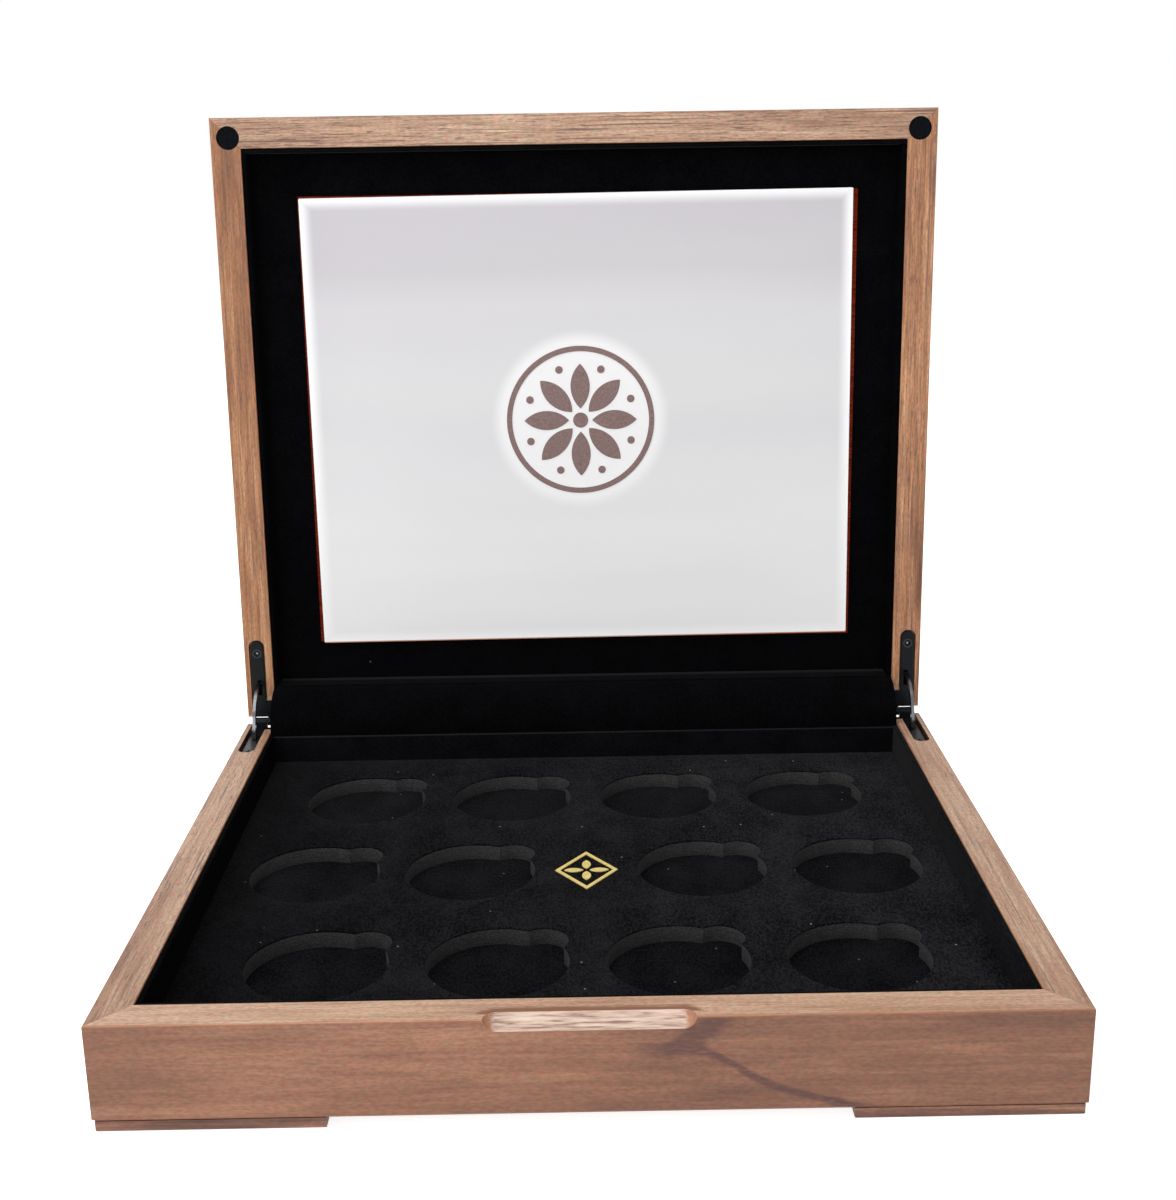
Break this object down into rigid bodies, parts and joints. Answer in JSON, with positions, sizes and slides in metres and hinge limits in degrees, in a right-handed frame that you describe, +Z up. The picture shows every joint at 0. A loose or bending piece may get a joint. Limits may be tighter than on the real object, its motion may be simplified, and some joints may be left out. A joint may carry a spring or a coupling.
{
  "type": "coin display box",
  "caption": "Shallow walnut display box with velvet-lined coin pockets, a hinged lid with a plaque inside, and stays that hold the lid open.",
  "frame": {"origin": "middle of the case's footprint, on the surface that its four feet stand on", "axes": "+Z up, -Y towards the front with the finger scoop, +X to the right seen from the front; the rest pose is the open box, as pictured"},
  "size_m": [0.31, 0.301, 0.3055],
  "materials": {
    "walnut": "satin oiled walnut",
    "board": "raw fibreboard",
    "black_velvet": "short pile",
    "foam": "die-cut foam, matt",
    "gold_foil": "foil print",
    "plaque_backing": "matt",
    "plaque_plate": "gloss",
    "brown_print": "print",
    "magnet": "matt black",
    "black_leaf": "satin black",
    "black_screw": "satin black",
    "steel": "satin"
  },
  "bodies": {
    "base": {"base_front_rail": "walnut", "base_rear_rail": "walnut", "base_left_rail": "walnut", "base_right_rail": "walnut", "base_bottom_board": "board", "foot_front_left": "walnut", "foot_front_right": "walnut", "foot_rear_left": "walnut", "foot_rear_right": "walnut", "base_front_lining": "black_velvet", "base_rear_lining": "black_velvet", "base_left_lining": "black_velvet", "base_right_lining": "black_velvet", "tray_riser": "board", "tray_floor_board": "board", "tray_floor_velvet": "black_velvet", "tray_velvet": "black_velvet", "tray_ornament": "gold_foil", "tray_foam_front_left": "foam", "tray_foam_front_right": "foam", "tray_foam_middle_left": "foam", "tray_foam_middle_right": "foam", "tray_foam_rear_left": "foam", "tray_foam_rear_right": "foam", "base_magnet_left": "magnet", "base_magnet_right": "magnet", "base_hinge_leaf_left": "black_leaf", "base_hinge_leaf_right": "black_leaf", "base_hinge_screw_left_side": "black_screw", "base_hinge_screw_left_rear": "black_screw", "base_hinge_screw_right_side": "black_screw", "base_hinge_screw_right_rear": "black_screw", "hinge_pin_left": "steel", "hinge_pin_right": "steel", "hinge_cover": "black_velvet"},
    "lid": {"lid_front_rail": "walnut", "lid_rear_rail": "walnut", "lid_left_rail": "walnut", "lid_right_rail": "walnut", "lid_top_board": "walnut", "lid_ceiling_board": "board", "lid_ceiling_velvet": "black_velvet", "lid_front_lining": "black_velvet", "lid_rear_lining": "black_velvet", "lid_left_lining": "black_velvet", "lid_right_lining": "black_velvet", "plaque_backing": "plaque_backing", "plaque_plate": "plaque_plate", "plaque_emblem": "brown_print", "lid_magnet_left": "magnet", "lid_magnet_right": "magnet", "lid_hinge_leaf_left": "black_leaf", "lid_hinge_leaf_right": "black_leaf", "lid_hinge_screw_left_side": "black_screw", "lid_hinge_screw_left_rear": "black_screw", "lid_hinge_screw_right_side": "black_screw", "lid_hinge_screw_right_rear": "black_screw"},
    "stay_left": {"stay_left": "steel"},
    "stay_right": {"stay_right": "steel"}
  },
  "joints": [
    {"name": "lid_hinge", "type": "hinge", "parent": "base", "child": "lid", "pos_m": [0, 0.1352, 0.03755], "axis": [1, 0, 0], "range_deg": [0, 92.3], "deforming": ["hinge_cover"]},
    {"name": "stay_left_swing", "type": "hinge", "parent": "base", "child": "stay_left", "pos_m": [0, 0.1352, 0.03755], "axis": [1, 0, 0], "range_deg": [0, 46.15]},
    {"name": "stay_right_swing", "type": "hinge", "parent": "base", "child": "stay_right", "pos_m": [0, 0.1352, 0.03755], "axis": [1, 0, 0], "range_deg": [0, 46.15]}
  ],
  "couplings": [
    {"joint": "stay_left_swing", "follows": "lid_hinge", "ratio": 0.5},
    {"joint": "stay_right_swing", "follows": "lid_hinge", "ratio": 0.5}
  ]
}
